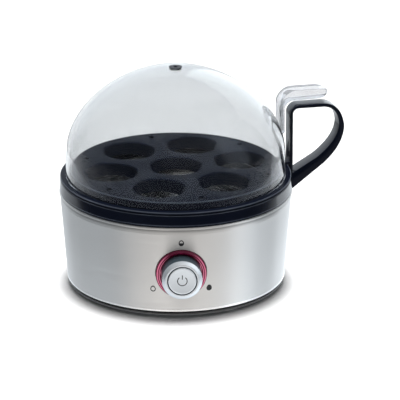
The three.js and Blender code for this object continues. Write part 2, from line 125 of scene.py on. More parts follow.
def curve(a, control, b, steps):
    """Points of a quadratic curve from a to b, without b."""
    points = []
    for k in range(steps):
        t = k / steps
        points.append(Vector(a) * (1 - t) ** 2 + Vector(control) * 2 * t * (1 - t) + Vector(b) * t * t)
    return points


def line(a, b, steps):
    """Points of a straight line from a to b, without b."""
    return [Vector(a).lerp(Vector(b), k / steps) for k in range(steps)]


def arc(centre, radius, start, end, steps):
    """Points of a circular arc from one angle to another in degrees, without the last."""
    turns = (math.radians(start + (end - start) * k / steps) for k in range(steps))
    return [Vector(centre) + radius * Vector((math.cos(turn), math.sin(turn))) for turn in turns]


def new_piece(name, vertices, faces, placing, sharp=SHARP):
    """A smooth-shaded mesh object from millimetre points, put in place in metres."""
    mesh = bpy.data.meshes.new(name)
    mesh.from_pydata([Vector(v) * MM for v in vertices], [], faces)
    mesh.transform(placing)
    piece = bpy.data.objects.new(name, mesh)
    bpy.context.scene.collection.objects.link(piece)
    finish_mesh(piece, sharp)
    return piece


def finish_mesh(piece, sharp):
    """Merges doubled points, turns the faces outwards and shades all but the sharp edges smooth."""
    tidy = bmesh.new()
    tidy.from_mesh(piece.data)
    bmesh.ops.remove_doubles(tidy, verts=tidy.verts, dist=1e-7)
    bmesh.ops.dissolve_degenerate(tidy, dist=1e-7, edges=tidy.edges)
    bmesh.ops.recalc_face_normals(tidy, faces=tidy.faces)
    tidy.to_mesh(piece.data)
    tidy.free()
    piece.data.shade_smooth()
    piece.data.set_sharp_from_angle(angle=math.radians(sharp))


def turned(name, profile, placing=BODY_AT, segments=160, centre=(0, 0)):
    """Turns a closed outline of (radius, height) about +Z; one that starts on the axis ends there too."""
    on_axis = profile[0][0] == 0
    ring = profile[1:-1] if on_axis else profile
    vertices, faces = [], []
    for i in range(segments):
        angle = 2 * math.pi * i / segments
        vertices += [
            (centre[0] + r * math.cos(angle), centre[1] + r * math.sin(angle), z) for r, z in ring
        ]
    count = len(ring)
    spans = range(count - 1) if on_axis else range(count)
    for i in range(segments):
        here, there = i * count, (i + 1) % segments * count
        faces += [(here + k, there + k, there + (k + 1) % count, here + (k + 1) % count) for k in spans]
    if on_axis:
        low, high = len(vertices), len(vertices) + 1
        vertices += [(*centre, profile[0][1]), (*centre, profile[-1][1])]
        for i in range(segments):
            here, there = i * count, (i + 1) % segments * count
            faces += [(low, there, here), (high, here + count - 1, there + count - 1)]
    return new_piece(name, vertices, faces, placing)


def disc(radius, low, high):
    """The outline of a plain cylinder, for turned()."""
    return [Vector(point) for point in ((0, low), (radius, low), (radius, high), (0, high))]


def block(name, low, high, placing):
    """A box from corner to corner."""
    (x0, y0, z0), (x1, y1, z1) = low, high
    vertices = [(x, y, z) for x in (x0, x1) for y in (y0, y1) for z in (z0, z1)]
    faces = [(0, 1, 3, 2), (4, 6, 7, 5), (0, 4, 5, 1), (2, 3, 7, 6), (0, 2, 6, 4), (1, 5, 7, 3)]
    return new_piece(name, vertices, faces, placing)


def combine(piece, others, operation):
    """Cuts or joins the others into the piece, and removes them."""
    bpy.context.view_layer.update()
    for other in others:
        modifier = piece.modifiers.new("combine", "BOOLEAN")
        modifier.operation = operation
        modifier.solver = "EXACT"
        modifier.object = other
    depsgraph = bpy.context.evaluated_depsgraph_get()
    made = bpy.data.meshes.new_from_object(piece.evaluated_get(depsgraph))
    made.name = piece.name
    piece.modifiers.clear()
    piece.data = made
    for other in others:
        bpy.data.objects.remove(other)
    finish_mesh(piece, SHARP)


def rounded_section(near, far, half_breadth, rounding, steps=4):
    """A rounded rectangle across the line from near to far, as points (radius, breadth, height)."""
    near, far = Vector(near), Vector(far)
    thick = (far - near).length
    across = (far - near).normalized()
    r = min(rounding, thick * 0.48, half_breadth * 0.98)
    points = []
    for side, end, start in ((1, thick - r, 0), (1, r, 90), (-1, r, 180), (-1, thick - r, 270)):
        for k in range(steps + 1):
            angle = math.radians(start + 90 * k / steps)
            along = end + r * math.cos(angle)
            y = side * (half_breadth - r) + r * math.sin(angle)
            point = near + across * along
            points.append((point.x, y, point.y))
    return points


def lofted(name, sections, closed, placing=RACK_AT):
    """Skins a row of equal sections; an open row gets a flat cap at each end."""
    size, count = len(sections[0]), len(sections)
    vertices = [point for section in sections for point in section]
    faces = []
    for i in range(count if closed else count - 1):
        here, there = i * size, (i + 1) % count * size
        faces += [(here + k, here + (k + 1) % size, there + (k + 1) % size, there + k) for k in range(size)]
    if not closed:
        faces += [tuple(range(size)), tuple((count - 1) * size + k for k in reversed(range(size)))]
    return new_piece(name, vertices, faces, placing, sharp=50)


# ------------------------------------------------------------------ material helpers


class Nodes:
    """Short ways to add nodes to a material's or a world's tree."""

    def __init__(self, tree):
        self.tree = tree

    def node(self, kind, **settings):
        made = self.tree.nodes.new(kind)
        for key, value in settings.items():
            setattr(made, key, value)
        return made

    def feed(self, socket, value):
        if isinstance(value, bpy.types.NodeSocket):
            self.tree.links.new(value, socket)
        else:
            socket.default_value = value

    def maths(self, operation, a, b=0.0):
        made = self.node("ShaderNodeMath", operation=operation)
        self.feed(made.inputs[0], a)
        self.feed(made.inputs[1], b)
        return made.outputs[0]

    def span(self, value, low, high, from_low=0.0, from_high=1.0, smooth=False):
        made = self.node("ShaderNodeMapRange", interpolation_type="SMOOTHSTEP" if smooth else "LINEAR")
        for key, number in (("Value", value), ("From Min", from_low), ("From Max", from_high),
                            ("To Min", low), ("To Max", high)):
            self.feed(made.inputs[key], number)
        return made.outputs["Result"]

    def mix(self, share, a, b):
        made = self.node("ShaderNodeMix", data_type="RGBA")
        self.feed(made.inputs[0], share)
        self.feed(made.inputs[6], a)
        self.feed(made.inputs[7], b)
        return made.outputs[2]

    def scaled(self, vector, factor):
        made = self.node("ShaderNodeVectorMath", operation="SCALE")
        self.feed(made.inputs[0], vector)
        self.feed(made.inputs["Scale"], factor)
        return made.outputs[0]

    def split(self, vector):
        made = self.node("ShaderNodeSeparateXYZ")
        self.feed(made.inputs[0], vector)
        return made.outputs[0], made.outputs[1], made.outputs[2]


class Shader(Nodes):
    """A Principled material with its textures in the object's own coordinates."""

    def __init__(self, name):
        self.material = bpy.data.materials.new(name)
        self.material.use_nodes = True
        super().__init__(self.material.node_tree)
        self.surface = self.tree.nodes["Principled BSDF"]
        self.coordinates = self.node("ShaderNodeTexCoord").outputs["Object"]

    def set(self, **values):
        """Sets uniform values straight on the shader's own sockets."""
        for key, value in values.items():
            self.surface.inputs[key.replace("_", " ")].default_value = value

    def noise(self, scale, detail=3.0, vector=None, rough=0.5):
        made = self.node("ShaderNodeTexNoise")
        self.feed(made.inputs["Vector"], vector or self.coordinates)
        self.feed(made.inputs["Scale"], scale)
        self.feed(made.inputs["Detail"], detail)
        self.feed(made.inputs["Roughness"], rough)
        return made.outputs["Fac"]

    def bump(self, height, strength, distance):
        made = self.node("ShaderNodeBump")
        self.feed(made.inputs["Height"], height)
        made.inputs["Strength"].default_value = strength
        made.inputs["Distance"].default_value = distance
        self.feed(self.surface.inputs["Normal"], made.outputs["Normal"])

    def edges(self):
        """Near 1 on sharp outer edges."""
        return self.span(self.node("ShaderNodeNewGeometry").outputs["Pointiness"], 0, 1, 0.51, 0.56)

    def polar(self, centre, upright=True):
        """(angle, distance from the axis, place along it) about a vertical axis, or one along Y."""
        x, y, z = self.split(self.coordinates)
        x = self.maths("SUBTRACT", x, centre.x)
        second, along = (y, z) if upright else (z, y)
        y = self.maths("SUBTRACT", second, centre.y if upright else centre.z)
        return self.maths("ARCTAN2", y, x), self.length(x, y), along

    def length(self, x, y):
        x_squared, y_squared = self.maths("MULTIPLY", x, x), self.maths("MULTIPLY", y, y)
        return self.maths("SQRT", self.maths("ADD", x_squared, y_squared))

    def vector(self, x, y, z):
        made = self.node("ShaderNodeCombineXYZ")
        for socket, value in zip(made.inputs, (x, y, z)):
            self.feed(socket, value)
        return made.outputs[0]


def colour(red, green, blue):
    return (red, green, blue, 1.0)


def shade(base, factor):
    return tuple(min(1.0, part * factor) for part in base[:3]) + (1.0,)


def moulded(name, base, rough, sheen=0.5, grain=0.02, grain_scale=1400, wear=1.6):
    """Moulded plastic or rubber: soft colour drift, uneven gloss, fine grain and lighter worn edges."""
    s = Shader(name)
    drift = s.noise(28, 2)
    tone = s.mix(drift, shade(base, 0.8), shade(base, 1.2))
    worn = s.maths("MULTIPLY", s.edges(), s.noise(220, 3))
    s.feed(s.surface.inputs["Base Color"], s.mix(worn, tone, shade(base, wear)))
    smears = s.noise(55, 4, rough=0.6)
    s.feed(s.surface.inputs["Roughness"], s.span(smears, rough * 0.75, rough * 1.3, 0.3, 0.7))
    s.set(Specular_IOR_Level=sheen)
    s.bump(s.noise(grain_scale, 2), grain, 0.0002)
    return s.material


def brushed(name, base, rough, centre, upright=True, face=False, anisotropic=0.5, painted_bands=()):
    """Metal brushed round an axis: fine streaks along the brushing in colour, gloss and relief.

    Each band (low, high, tone below, tone above) paints light or shade into the metal's colour along the
    axis, in millimetres.
    """
    s = Shader(name)
    angle, distance, along = s.polar(centre, upright)
    across = distance if face else along
    fine_at = s.vector(s.maths("MULTIPLY", angle, 2.5), s.maths("MULTIPLY", across, 5200), 0.0)
    broad_at = s.vector(s.maths("MULTIPLY", angle, 1.2), s.maths("MULTIPLY", across, 620), 3.7)
    fine, broad = s.noise(1.0, 2, fine_at), s.noise(1.0, 3, broad_at)
    streak = s.maths("ADD", s.maths("MULTIPLY", fine, 0.8), s.maths("MULTIPLY", broad, 0.2))
    handled = s.noise(16, 4, rough=0.6)
    tone = s.mix(streak, shade(base, 0.93), shade(base, 1.06))
    tone = s.mix(s.span(handled, 0, 0.12, 0.45, 0.75), tone, shade(base, 0.85))
    # Painted light and shade: each band brightens or darkens the colour along the axis.
    for low, high, tone_below, tone_above in painted_bands:
        tone = s.scaled(tone, s.span(along, tone_below, tone_above, low * MM, high * MM, True))
    s.feed(s.surface.inputs["Base Color"], tone)
    gloss = s.span(streak, rough * 0.8, rough * 1.2, 0.3, 0.7)
    s.feed(s.surface.inputs["Roughness"], s.maths("ADD", gloss, s.span(handled, -0.02, 0.03)))
    s.set(Metallic=1.0, Anisotropic=anisotropic, Anisotropic_Rotation=0.25)
    if upright and anisotropic:
        round_axis = s.node("ShaderNodeTangent", direction_type="RADIAL", axis="Z")
        s.feed(s.surface.inputs["Tangent"], round_axis.outputs[0])
    s.bump(fine, 0.05, 0.00005)
    return s.material


# ------------------------------------------------------------------ materials

BLACK = colour(0.004, 0.0056, 0.0115)


def gloss_black(name, rough, level, face_on, highlight_rims):
    """Polished black plastic: deep face on, pale at a glancing angle, with smears and painted highlights on
    round rims.

    Each rim (radius, height, width) is a round edge painted paler as a highlight, in millimetres.
    """
    s = Shader(name)
    drift = s.noise(22, 2)
    tone = s.mix(drift, shade(BLACK, 0.75), shade(BLACK, 1.3))
    _, distance, along = s.polar(AXIS)
    # Painted highlights: the colour is paler near each round rim.
    painted_rim_highlight = 0.0
    for radius, height, width in highlight_rims:
        out = s.maths("SUBTRACT", distance, radius * MM)
        up = s.maths("SUBTRACT", along, height * MM)
        near = s.span(s.length(out, up), 1.0, 0.0, width * 0.4 * MM, width * MM, True)
        painted_rim_highlight = s.maths("ADD", painted_rim_highlight, near)
    painted_rim_highlight = s.maths("MULTIPLY", painted_rim_highlight, s.span(s.noise(60, 3), 0.6, 1.0, 0.35, 0.65))
    s.feed(s.surface.inputs["Base Color"], s.mix(painted_rim_highlight, tone, colour(0.06, 0.07, 0.09)))
    smears = s.noise(38, 5, rough=0.62)
    s.feed(s.surface.inputs["Roughness"], s.span(smears, rough * 0.7, rough * 1.5, 0.3, 0.72))
    s.set(Specular_IOR_Level=level, Specular_Tint=colour(face_on, face_on, face_on * 1.2))
    s.bump(s.noise(320, 2), 0.01, 0.0003)
    return s.material


def clear_plastic(name, light, dark, painted_dark_edge, haze_high=0.04, clear=1.0, index=1.36):
    """Clear moulded plastic: faint haze and ripple, with painted shade darkening it edge on and at the
    dome's open lower lip.
    """
    s = Shader(name)
    haze = s.noise(30, 4, rough=0.6)
    facing = s.node("ShaderNodeLayerWeight").outputs["Facing"]
    _, _, height = s.split(s.coordinates)
    lip = s.span(height, 1.0, 0.0, (DOME_LOW + 1.0) * MM, (DOME_LOW + 1.5) * MM)
    # Painted shade: darker colour where the surface is seen edge on and at the dome's lower lip.
    painted_shade_mask = s.maths("MAXIMUM", lip, s.span(facing, 0, 1, 0.5, 1.0))
    s.feed(s.surface.inputs["Base Color"], s.mix(painted_shade_mask, s.mix(haze, dark, light), painted_dark_edge))
    s.feed(s.surface.inputs["Roughness"], s.span(haze, 0.0, haze_high, 0.35, 0.8))
    s.set(Transmission_Weight=clear, IOR=index, Specular_Tint=colour(0.3, 0.32, 0.36))
    s.bump(s.noise(14, 1), 0.03, 0.002)
    open_side = s.node("ShaderNodeBsdfTransparent")
    open_side.inputs["Color"].default_value = colour(0.93, 0.95, 0.97)
    choose = s.node("ShaderNodeMixShader")
    s.feed(choose.inputs[0], s.node("ShaderNodeLightPath").outputs["Is Shadow Ray"])
    s.feed(choose.inputs[1], s.surface.outputs[0])
    s.feed(choose.inputs[2], open_side.outputs[0])
    s.feed(s.tree.nodes["Material Output"].inputs["Surface"], choose.outputs[0])
    return s.material


def red_light():
    """Red light ring: two fine ridges, deep crimson painted shade above and at the edge, painted pink side
    highlights.
    """
    s = Shader("red_light")
    angle, distance, _ = s.polar(KNOB, upright=False)
    sideways = s.maths("ABSOLUTE", s.maths("COSINE", angle))
    painted_side_light = s.span(sideways, 0.0, 1.0, 0.45, 0.98, True)
    from_ridge = s.maths("SUBTRACT", distance, RIDGE_R * MM)
    ridges = s.maths("COSINE", s.maths("MULTIPLY", from_ridge, 2 * math.pi / (RIDGE_GAP * MM)))
    # Painted shade: the outer edge is painted dark.
    painted_dark_edge = s.span(distance, 1.0, 0.0, (LIGHT_R - 0.5) * MM, (LIGHT_R - 0.1) * MM, True)
    cloud = s.span(s.noise(240, 3), 0.85, 1.1)
    # Painted shade and highlight: the crimson is deep above and paler at the left and right.
    body = s.maths("MULTIPLY", s.maths("MULTIPLY", s.span(painted_side_light, 0.45, 1.0), painted_dark_edge), cloud)
    glow = s.maths("MULTIPLY", s.maths("MULTIPLY", painted_side_light, painted_dark_edge), s.span(ridges, 0.0, 1.0, -0.4, 1.0, True))
    tone = s.mix(body, colour(0.018, 0.0006, 0.005), colour(0.2, 0.009, 0.055))
    # Painted highlights of the side lamps, given as a pink glow along the ridges at the left and right.
    painted_highlight_glow = s.mix(glow, colour(0.035, 0.001, 0.008), colour(1.0, 0.34, 0.48))
    s.feed(s.surface.inputs["Base Color"], tone)
    s.feed(s.surface.inputs["Emission Color"], painted_highlight_glow)
    s.set(Emission_Strength=0.6, Specular_IOR_Level=0.5, Specular_Tint=colour(1.0, 0.5, 0.62))
    s.feed(s.surface.inputs["Roughness"], s.span(s.noise(90, 3), 0.1, 0.2))
    s.bump(s.noise(500, 2), 0.02, 0.0002)
    return s.material


def knob_metal():
    """Satin silver on the knob's face and edge, dark slate on its flank, and painted shade darkening its
    groove.
    """
    s = Shader("knob_silver")
    angle, distance, along = s.polar(KNOB, upright=False)
    lines = s.noise(1.0, 3, s.vector(s.maths("MULTIPLY", angle, 2.5), s.maths("MULTIPLY", distance, 4200),
                                     s.maths("MULTIPLY", along, 4200)))
    smears = s.noise(60, 4, rough=0.6)
    front = AXIS.y - KNOB_FACE * MM
    flank = s.span(along, 0.0, 1.0, front + 1.6 * MM, front + 2.4 * MM, True)
    silver = s.mix(lines, colour(0.66, 0.70, 0.74), colour(0.71, 0.75, 0.79))
    slate = s.mix(smears, colour(0.022, 0.038, 0.048), colour(0.04, 0.062, 0.076))
    # Painted shade: the groove round the button is painted dark.
    groove = s.span(distance, 1.0, 0.0, (GROOVE_R + 0.2) * MM, (GROOVE_R + 0.45) * MM)
    tone = s.mix(groove, s.mix(flank, silver, slate), colour(0.02, 0.03, 0.045))
    s.feed(s.surface.inputs["Base Color"], tone)
    s.feed(s.surface.inputs["Metallic"], s.span(flank, 1.0, 0.35))
    s.feed(s.surface.inputs["Roughness"], s.span(s.maths("ADD", lines, smears), 0.44, 0.5, 0.7, 1.3))
    s.bump(lines, 0.04, 0.00005)
    return s.material


# Bands of painted light and shade on the housing: low and high, then the tone below and above.
HOUSING_PAINTED_BANDS = (
    (SHELL_LOW + 1.3, SHELL_LOW + 1.9, 1.5, 1.0),     # painted highlight on the rolled lower edge
    (SHELL_LOW + 2, SHELL_TOP - 8, 1.12, 0.97),       # painted light: a little brighter towards the table
    (SHELL_TOP - 4.4, SHELL_TOP - 2.3, 1.0, 0.55),    # painted shade under the bead
    (SHELL_TOP - 1.9, SHELL_TOP - 1.5, 1.0, 1.5),     # painted highlight on the bead
)
# Round edges of the rack and the ring painted paler as highlights: radius, height and width.
RACK_HIGHLIGHT_RIMS = ((74.2, PLATE - 0.4, 0.9), (81.6, 79.9, 0.7))
RING_HIGHLIGHT_RIMS = ((82.0, RING_TOP - 0.3, 0.6), (82.2, SHELL_TOP + 1.6, 0.5))

MATERIALS = {
    "steel": brushed("brushed_steel", colour(0.62, 0.615, 0.61), 0.42, AXIS, anisotropic=0.9,
                     painted_bands=HOUSING_PAINTED_BANDS),
    "pan": brushed("pan_steel", colour(0.58, 0.58, 0.57), 0.24, AXIS, face=True),
    "knob": knob_metal(),
    "button": brushed("button_silver", colour(0.655, 0.7, 0.745), 0.34, KNOB, upright=False, face=True,
                      anisotropic=0.0),
    "ring": gloss_black("black_ring", 0.04, 0.5, 0.06, RING_HIGHLIGHT_RIMS),
    "rack": gloss_black("black_rack", 0.06, 0.015, 0.12, RACK_HIGHLIGHT_RIMS),
    "handle": gloss_black("black_handle", 0.08, 1.0, 0.03, ()),
    "base": moulded("black_base", colour(0.045, 0.045, 0.047), 0.38, grain=0.12, grain_scale=1800, wear=3),
    "clear": clear_plastic("clear_dome", colour(0.70, 0.715, 0.725), colour(0.665, 0.68, 0.69),
                           colour(0.55, 0.57, 0.59)),
    "clear_hook": clear_plastic("clear_hook", colour(0.68, 0.69, 0.71), colour(0.61, 0.62, 0.64),
                                colour(0.2, 0.21, 0.23), 0.12, 0.85, 1.5),
    "red": red_light(),
    "rubber": moulded("rubber", colour(0.022, 0.022, 0.024), 0.8, 0.3, 0.25, 900, 2.2),
    "vent": moulded("vent_rubber", colour(0.012, 0.013, 0.02), 0.5, 0.15, 0.1, 1200, 1.6),
    "ink": moulded("printed_ink", colour(0.012, 0.013, 0.016), 0.5, 0.3, 0.02, 2500, 1.2),
    "silicone": moulded("silicone", colour(0.55, 0.56, 0.56), 0.55, 0.4, 0.1, 900, 1.1),
    "screw": brushed("screw_steel", colour(0.5, 0.5, 0.5), 0.35, AXIS, anisotropic=0.0),
    "aluminium": brushed("bare_aluminium", colour(0.62, 0.63, 0.64), 0.42, AXIS, anisotropic=0.0),
    "element": moulded("element_sheath", colour(0.09, 0.08, 0.075), 0.6, 0.5, 0.3, 600, 1.5),
    "component": moulded("component_case", colour(0.02, 0.022, 0.026), 0.5, 0.5, 0.15, 1500, 1.8),
    "white": moulded("white_plastic", colour(0.68, 0.67, 0.62), 0.5, 0.5, 0.1, 1500, 1.1),
    "board": moulded("circuit_board", colour(0.02, 0.11, 0.045), 0.45, 0.5, 0.2, 1100, 1.6),
    "blue": moulded("relay_blue", colour(0.03, 0.1, 0.33), 0.45, 0.5, 0.1, 1500, 1.3),
    "brown": moulded("lead_brown", colour(0.1, 0.035, 0.01), 0.55, 0.4, 0.1, 1500, 1.3),
}


def dress(piece, material, body, slot, *nodes):
    """Gives a piece its material and the body it rides on, and hides the CAD nodes it stands for; the slot
    is not used.
    """
    piece.data.materials.clear()
    piece.data.materials.append(MATERIALS[material])
    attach(piece, body)
    if nodes:
        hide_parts(*nodes)


# ------------------------------------------------------------------ base


def shell_radius(z):
    """The housing's outer radius at a height."""
    return SHELL_LOW_R + (z - SHELL_LOW) * (SHELL_TOP_R - SHELL_LOW_R) / (SHELL_TOP - SHELL_LOW)


def steel_shell():
    """The conical housing: rolled lower edge, and a bead with a fine groove under it at the top."""
    low, top = SHELL_LOW, SHELL_TOP
    groove = top - 2.0
    shell = turned("steel_housing", outline([
        (shell_radius(low) - 1.5, low), (shell_radius(low) + 0.3, low, 0.55),
        (shell_radius(low) + 0.3, low + 1.3, 0.45), (shell_radius(low + 1.7), low + 1.7, 0.4),
        (shell_radius(groove - 3.2), groove - 3.2, 2.0), (shell_radius(groove) - 0.75, groove - 0.1, 0.2),
        (shell_radius(groove) - 0.75, groove + 0.15, 0.1), (BEAD_R, groove + 0.5, 0.4), (BEAD_R, top, 0.8),
        (shell_radius(top) - 1.5, top), (shell_radius(low + 1) - 1.5, low + 1.2),
    ]), segments=240)
    knob_hole = turned("cut_knob", disc(LIGHT_R + 0.25, 60, 95), FRONT_AT, 128)
    rear_hole = turned("cut_rear", disc(5.2, 60, 95), REAR_AT, 48)
    combine(shell, [knob_hole, rear_hole], "DIFFERENCE")
    dress(shell, "steel", "base", "brushed_steel", "steel_shell")


def top_ring():
    """The black ring: a drafted outer wall, flat between its rounded edges, and a ledge for the dish."""
    low, wall, foot_r, head_r = SHELL_TOP + 0.3, 80.2, 82.3, 81.95
    draft = (foot_r - head_r) / (RING_TOP - low)
    ring = turned("black_top_ring", outline([
        (wall - 1.9, low - 11), (wall, low - 11), (wall, low), (foot_r, low, 0.35),
        (foot_r - 0.5 * draft, low + 0.5), (head_r + 0.8 * draft, RING_TOP - 0.8), (head_r, RING_TOP, 0.6),
        (78.3, RING_TOP, 0.4), (78.3, 69.7), (68.2, 69.7), (68.2, 67.7), (wall - 1.9, 67.7),
    ]), segments=240)
    dress(ring, "ring", "base", "black_ring", "top_ring")


def bottom_cover():
    """The black bottom: a seam under the housing, vent slots, and sockets for the feet and screws."""
    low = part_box("base_pan")[0].z / MM
    cover = turned("bottom_cover", outline([
        (0, low + 0.7), (66, low + 0.7, 0.3), (67, low, 0.3), (76.9, low, 0.8), (76.9, 4.0, 0.4),
        (75.4, 4.2, 0.2), (75.4, 5.1), (74.6, 5.1), (74.6, 14, 0.5), (72.6, 14, 0.5), (72.6, 4.6), (0, 4.6),
    ]), segments=200)
    cutters = []
    for i in range(8):
        turn = Matrix.Rotation(i * math.pi / 4, 4, "Z")
        cutters.append(block(f"cut_slot_{i}", (22, -1.5, 0), (44, 1.5, 8), BODY_AT @ turn))
    for name in ("foot_1", "foot_2", "foot_3", "foot_4", "base_screw_1", "base_screw_2", "base_screw_3"):
        at = middle(name)
        r = 3.3 if name.startswith("foot") else 3.1
        cutters.append(turned(f"cut_{name}", disc(r, 0, 4.3), Matrix.Translation((at.x, at.y, 0)), 40))
    combine(cover, cutters, "DIFFERENCE")
    dress(cover, "base", "base", "black_base", "base_pan")


def feet_and_screws():
    """Ribbed rubber feet, and cross-slotted countersunk screws."""
    for i in range(1, 5):
        at = middle(f"foot_{i}")
        foot = turned(f"rubber_foot_{i}", outline([
            (0, 0.5), (2.6, 0.5, 0.2), (3.1, 0, 0.2), (4.6, 0, 0.2), (5.1, 0.5, 0.2), (5.7, 0.5, 0.2),
            (6.2, 0, 0.2), (7.4, 0, 0.2), (8, 0.7, 0.3), (8, 2.2, 0.2), (3, 2.2), (3, 4.8), (0, 4.8),
        ]), Matrix.Translation((at.x, at.y, 0)), 48)
        dress(foot, "rubber", "base", "rubber", f"foot_{i}")
    for i in range(1, 4):
        at = middle(f"base_screw_{i}")
        low, high = (corner.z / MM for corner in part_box(f"base_screw_{i}"))
        place = Matrix.Translation((at.x, at.y, 0))
        screw = turned(f"cover_screw_{i}", outline([
            (0, low), (2.7, low, 0.9), (2.7, low + 1.9, 0.1), (1.45, low + 1.9), (1.45, high - 1.5),
            (0, high),
        ]), place, 40)
        arms = [block("cut_a", (-1.7, -0.35, 0), (1.7, 0.35, low + 1.2), place),
                block("cut_b", (-0.35, -1.7, 0), (0.35, 1.7, low + 1.2), place)]
        combine(screw, arms, "DIFFERENCE")
        dress(screw, "screw", "base", "screw_steel", f"base_screw_{i}")


def cord_bush():
    """The rubber bush in the rear, grooved round the housing's wall."""
    face = (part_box("cord_gland")[1].y - AXIS.y) / MM
    bush = turned("rear_cord_bush", outline([
        (3.2, face - 6.6), (6.4, face - 6.6, 0.5), (6.4, face - 4.7), (4.9, face - 4.7), (4.9, face - 1.7),
        (6.8, face - 1.7, 0.2), (6.8, face - 0.6, 0.3), (5.0, face, 0.6), (3.2, face, 0.5),
    ]), REAR_AT, 64)
    dress(bush, "rubber", "base", "rubber", "cord_gland")


def water_dish():
    """The shallow stainless dish, with a flange that lies on the ring's ledge."""
    floor, top = 60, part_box("water_pan")[1].z / MM
    dish = turned("water_dish", outline([
        (0, floor - 0.8), (67.4, floor - 0.8, 7), (67.4, top - 0.8), (77.8, top - 0.8, 0.3),
        (77.8, top, 0.3), (66.6, top, 1.4), (66.6, floor, 6.2), (0, floor),
    ], 8), segments=200)
    dress(dish, "pan", "base", "pan_steel", "water_pan")


def light_ring():
    """The red ring round the knob, a full rounded face on a cylindrical guide."""
    ring = turned("ring_light", outline([
        (5, 72), (LIGHT_INNER_R, 72), (LIGHT_INNER_R, 61), (LIGHT_R, 61), (LIGHT_R, LIGHT_FACE - 1.9, 0.4),
        (17.3, LIGHT_FACE - 0.9, 0.4), (16.9, LIGHT_FACE - 0.9, 0.2), (16.5, LIGHT_FACE, 0.55),
        (15.5, LIGHT_FACE, 0.6), (14.9, LIGHT_FACE - 1.4, 0.4), (LIGHT_INNER_R, LIGHT_FACE - 1.8),
        (LIGHT_INNER_R, 73.6), (5, 73.6),
    ]), FRONT_AT, 128)
    dress(ring, "red", "base", "red_light", "light_ring")


# ------------------------------------------------------------------ printed marks

# The print's height over the steel, and the place of its back as a share of the front's radius.
INK_PROUD, INK_BACK = 0.04, 0.9994


def on_shell(x, height):
    """The point on the housing's face at x to the right of the knob and this height, in millimetres."""
    r = shell_radius(height) + INK_PROUD
    return (x, -math.sqrt(r * r - x * x), height)


def printed(name, rows):
    """A thin print that follows the housing: rows of equal point counts, each (x, height)."""
    count, outer = len(rows[0]), []
    for row in rows:
        outer += [on_shell(x, z) for x, z in row]
    inner = [(x * INK_BACK, y * INK_BACK, z) for x, y, z in outer]
    faces = []
    for shift, flip in ((0, False), (len(outer), True)):
        for i in range(len(rows) - 1):
            for k in range(count - 1):
                a = shift + i * count + k
                face = (a, a + 1, a + count + 1, a + count)
                faces.append(face[::-1] if flip else face)
    last = len(rows) - 1
    edge = ([(0, k) for k in range(count)] + [(i, count - 1) for i in range(1, last + 1)]
            + [(last, k) for k in range(count - 2, -1, -1)] + [(i, 0) for i in range(last - 1, 0, -1)])
    indices = [i * count + k for i, k in edge]
    for a, b in zip(indices, indices[1:] + indices[:1]):
        faces.append((a, b, b + len(outer), a + len(outer)))
    piece = new_piece(name, outer + inner, faces, BODY_AT)
    dress(piece, "ink", "base", None)


def egg_marks():
    """Soft, medium and hard: an open, a half-filled and a filled egg outline round the knob."""
    height = KNOB.z / MM
    steps = 28
    for name, turn, filled in (("soft", -1, 0.0), ("medium", 0, 0.5), ("hard", 1, 1.0)):
        angle = turn * MARK_SPREAD
        x0 = MARK_CIRCLE * math.sin(angle)
        z0 = height + MARK_CIRCLE * math.cos(angle)

        def egg(share, size, x0=x0, z0=z0):
            a = 2 * math.pi * share
            narrow = 1 - 0.1 * math.sin(a)
            return (x0 + size * 1.9 * narrow * math.cos(a), z0 + size * 2.3 * math.sin(a))

        ring = [[egg(k / steps, size) for k in range(steps + 1)] for size in (0.98, 0.66)]
        printed(f"mark_{name}_outline", ring)
        if filled:
            from_bottom = [0.4995 * filled * k / 12 for k in range(13)]
            halves = [[egg(-0.25 + side * share, 0.76) for share in from_bottom] for side in (-1, 1)]
            printed(f"mark_{name}_fill", halves)


# ------------------------------------------------------------------ knob and button


def knob():
    """The knob: a round-edged face with a groove round the button's opening."""
    back = (AXIS.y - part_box("knob")[1].y) / MM
    body = turned("selector_knob", outline([
        (3.5, back), (6.5, back), (6.5, 78), (KNOB_R - 0.2, 78, 0.3), (KNOB_R, KNOB_FACE - 1.9, 0.9),
        (KNOB_R - 2.4, KNOB_FACE, 1.2), (GROOVE_R, KNOB_FACE, 0.3), (GROOVE_R, 82), (3.5, 82),
    ]), FRONT_AT, 160)
    dress(body, "knob", "knob", "knob_silver", "knob")


def start_button():
    """A slightly dished cap printed with a start mark: an open circle with a bar at its top."""
    face, flat_r, dish = BUTTON_FACE, 8.9, 0.35
    cap = turned("button_cap", outline([
        (0, 83), (2.6, 83), (2.6, 87.5), (BUTTON_R, 87.5), (BUTTON_R, face, 0.45), (flat_r, face, 0.3),
        (0, face - dish),
    ]), FRONT_AT, 160)
    dress(cap, "button", "button", "button_silver", "start_button")
    sweep = [math.radians(38 + (322 - 38) * k / 32) for k in range(33)]
    circle = [(3.3 * math.sin(a), 3.3 * math.cos(a)) for a in sweep]
    bar = [(0, 1.2 + 3.2 * k / 6) for k in range(7)]
    half_stroke, thick, proud = 0.3, 0.2, 0.04
    for name, path in (("arc", circle), ("bar", bar)):
        sections = []
        for i, (x, y) in enumerate(path):
            ahead, behind = path[min(i + 1, len(path) - 1)], path[max(i - 1, 0)]
            way = (Vector(ahead) - Vector(behind)).normalized()
            side = Vector((-way.y, way.x)) * half_stroke
            top = face - dish + dish * math.hypot(x, y) / flat_r + proud
            low = top - thick
            sections.append([(x + side.x, y + side.y, top), (x - side.x, y - side.y, top),
                             (x - side.x, y - side.y, low), (x + side.x, y + side.y, low)])
        mark = lofted(f"start_mark_{name}", sections, False, FRONT_AT)
        dress(mark, "ink", "button", None)


# ------------------------------------------------------------------ rack


